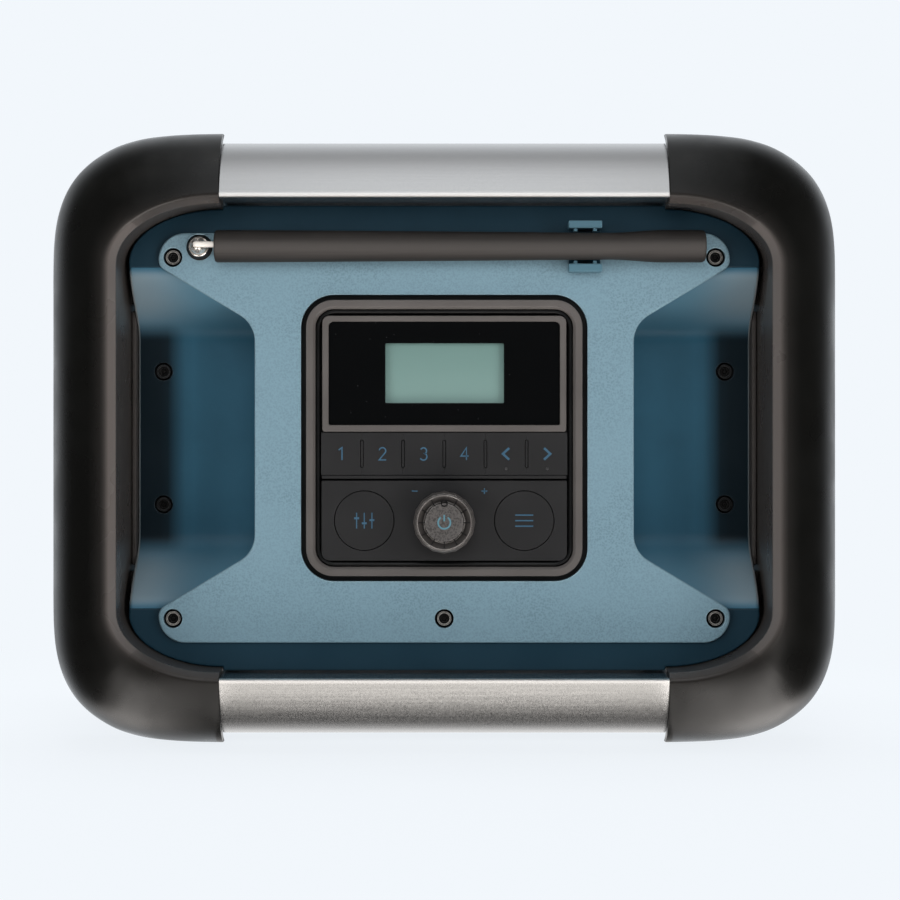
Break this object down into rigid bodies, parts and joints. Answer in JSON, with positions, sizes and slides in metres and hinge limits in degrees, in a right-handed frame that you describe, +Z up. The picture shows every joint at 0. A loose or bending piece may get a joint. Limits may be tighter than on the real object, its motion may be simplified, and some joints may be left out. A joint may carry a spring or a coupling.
{
  "type": "jobsite radio",
  "caption": "Compact jobsite radio: blue housing between two ring frames with rubber bumpers and metal rails, square control panel, knob and stowed whip antenna.",
  "frame": {"origin": "bottom centre: middle of the width and of the depth, at the height of the floor that the bumpers rest on", "axes": "+X to the right seen from the front, +Y from the front panel to the battery door, +Z up"},
  "size_m": [0.3, 0.19, 0.2336],
  "materials": {
    "housing_blue": "fine moulded texture",
    "plate_blue": "fine moulded texture",
    "bumper_rubber": "soft matt",
    "rail_aluminium": "fine blasted, anodised",
    "seal_rubber": "matt",
    "panel_black": "satin",
    "bezel_grey": "satin",
    "lens_black": "gloss",
    "lcd_green": "satin",
    "key_rubber": "soft matt",
    "knob_plastic": "satin",
    "whip_rubber": "matt",
    "chrome": "polished",
    "screw_steel": "black oxide",
    "board_green": "solder mask",
    "component_metal": "satin",
    "grille_grey": "satin",
    "cone_paper": "matt"
  },
  "bodies": {
    "radio": {"front_housing": "housing_blue", "side_panel_left": "housing_blue", "side_panel_right": "housing_blue", "rear_housing": "housing_blue", "frame_lugs": "housing_blue", "housing_gasket": "seal_rubber", "face_plate": "plate_blue", "panel_tray": "panel_black", "panel_bezel": "bezel_grey", "display_frame": "panel_black", "display_lens": "lens_black", "lcd_module": "lcd_green", "control_pad": "key_rubber", "encoder_body": "component_metal", "main_board": "board_green", "amplifier_board": "board_green", "antenna_socket": "panel_black", "antenna_knuckle": "chrome", "antenna_pin": "chrome", "antenna_clip": "plate_blue", "bumper_front_left": "bumper_rubber", "bumper_front_right": "bumper_rubber", "bumper_rear_left": "bumper_rubber", "bumper_rear_right": "bumper_rubber", "rail_front_top": "rail_aluminium", "rail_front_bottom": "rail_aluminium", "rail_rear_top": "rail_aluminium", "rail_rear_bottom": "rail_aluminium", "speaker_grille_left": "grille_grey", "speaker_grille_right": "grille_grey", "speaker_basket_left": "grille_grey", "speaker_basket_right": "grille_grey", "speaker_cone_left": "cone_paper", "speaker_cone_right": "cone_paper", "door_hinge_pins": "chrome", "terminal_block": "panel_black", "aux_jack": "panel_black", "usb_socket": "chrome", "face_screws": "screw_steel", "recess_screws": "screw_steel", "rear_screws": "screw_steel", "frame_screws": "screw_steel", "board_screws": "screw_steel"},
    "key_1": {"key_1": "key_rubber"},
    "key_2": {"key_2": "key_rubber"},
    "key_3": {"key_3": "key_rubber"},
    "key_4": {"key_4": "key_rubber"},
    "key_5": {"key_5": "key_rubber"},
    "key_6": {"key_6": "key_rubber"},
    "tone_button": {"tone_button": "key_rubber"},
    "menu_button": {"menu_button": "key_rubber"},
    "knob_plunger": {"encoder_plunger": "panel_black"},
    "knob": {"volume_knob": "knob_plastic", "knob_cap": "knob_plastic", "encoder_shaft": "chrome"},
    "antenna": {"antenna_whip": "whip_rubber", "antenna_tongue": "chrome"},
    "door": {"battery_door": "housing_blue"},
    "latch": {"door_latch": "knob_plastic"},
    "port_flap": {"port_cover": "bumper_rubber"}
  },
  "joints": [
    {"name": "key_1_press", "type": "slide", "parent": "radio", "child": "key_1", "axis": [0, 1, 0], "range_m": [0, 0.0008], "stiffness_N_per_m": 900, "springref_m": -0.0012},
    {"name": "key_2_press", "type": "slide", "parent": "radio", "child": "key_2", "axis": [0, 1, 0], "range_m": [0, 0.0008], "stiffness_N_per_m": 900, "springref_m": -0.0012},
    {"name": "key_3_press", "type": "slide", "parent": "radio", "child": "key_3", "axis": [0, 1, 0], "range_m": [0, 0.0008], "stiffness_N_per_m": 900, "springref_m": -0.0012},
    {"name": "key_4_press", "type": "slide", "parent": "radio", "child": "key_4", "axis": [0, 1, 0], "range_m": [0, 0.0008], "stiffness_N_per_m": 900, "springref_m": -0.0012},
    {"name": "key_5_press", "type": "slide", "parent": "radio", "child": "key_5", "axis": [0, 1, 0], "range_m": [0, 0.0008], "stiffness_N_per_m": 900, "springref_m": -0.0012},
    {"name": "key_6_press", "type": "slide", "parent": "radio", "child": "key_6", "axis": [0, 1, 0], "range_m": [0, 0.0008], "stiffness_N_per_m": 900, "springref_m": -0.0012},
    {"name": "tone_button_press", "type": "slide", "parent": "radio", "child": "tone_button", "axis": [0, 1, 0], "range_m": [0, 0.0008], "stiffness_N_per_m": 900, "springref_m": -0.0012},
    {"name": "menu_button_press", "type": "slide", "parent": "radio", "child": "menu_button", "axis": [0, 1, 0], "range_m": [0, 0.0008], "stiffness_N_per_m": 900, "springref_m": -0.0012},
    {"name": "knob_push", "type": "slide", "parent": "radio", "child": "knob_plunger", "axis": [0, 1, 0], "range_m": [0, 0.0009], "stiffness_N_per_m": 1500, "springref_m": -0.0012},
    {"name": "knob_turn", "type": "hinge", "parent": "knob_plunger", "child": "knob", "pos_m": [0, -0.08, 0.0852], "axis": [0, -1, 0], "continuous": true},
    {"name": "antenna_tilt", "type": "hinge", "parent": "radio", "child": "antenna", "pos_m": [-0.0928, -0.08, 0.1891], "axis": [0, 0, -1], "range_deg": [0, 90]},
    {"name": "door_hinge", "type": "hinge", "parent": "radio", "child": "door", "pos_m": [0, 0.0705, 0.0658], "axis": [-1, 0, 0], "range_deg": [0, 105]},
    {"name": "latch_slide", "type": "slide", "parent": "door", "child": "latch", "axis": [0, 0, -1], "range_m": [0, 0.003], "stiffness_N_per_m": 400, "springref_m": -0.002},
    {"name": "port_flap_hinge", "type": "hinge", "parent": "radio", "child": "port_flap", "pos_m": [0, 0.0712, 0.1714], "axis": [-1, 0, 0], "range_deg": [0, 110]}
  ]
}
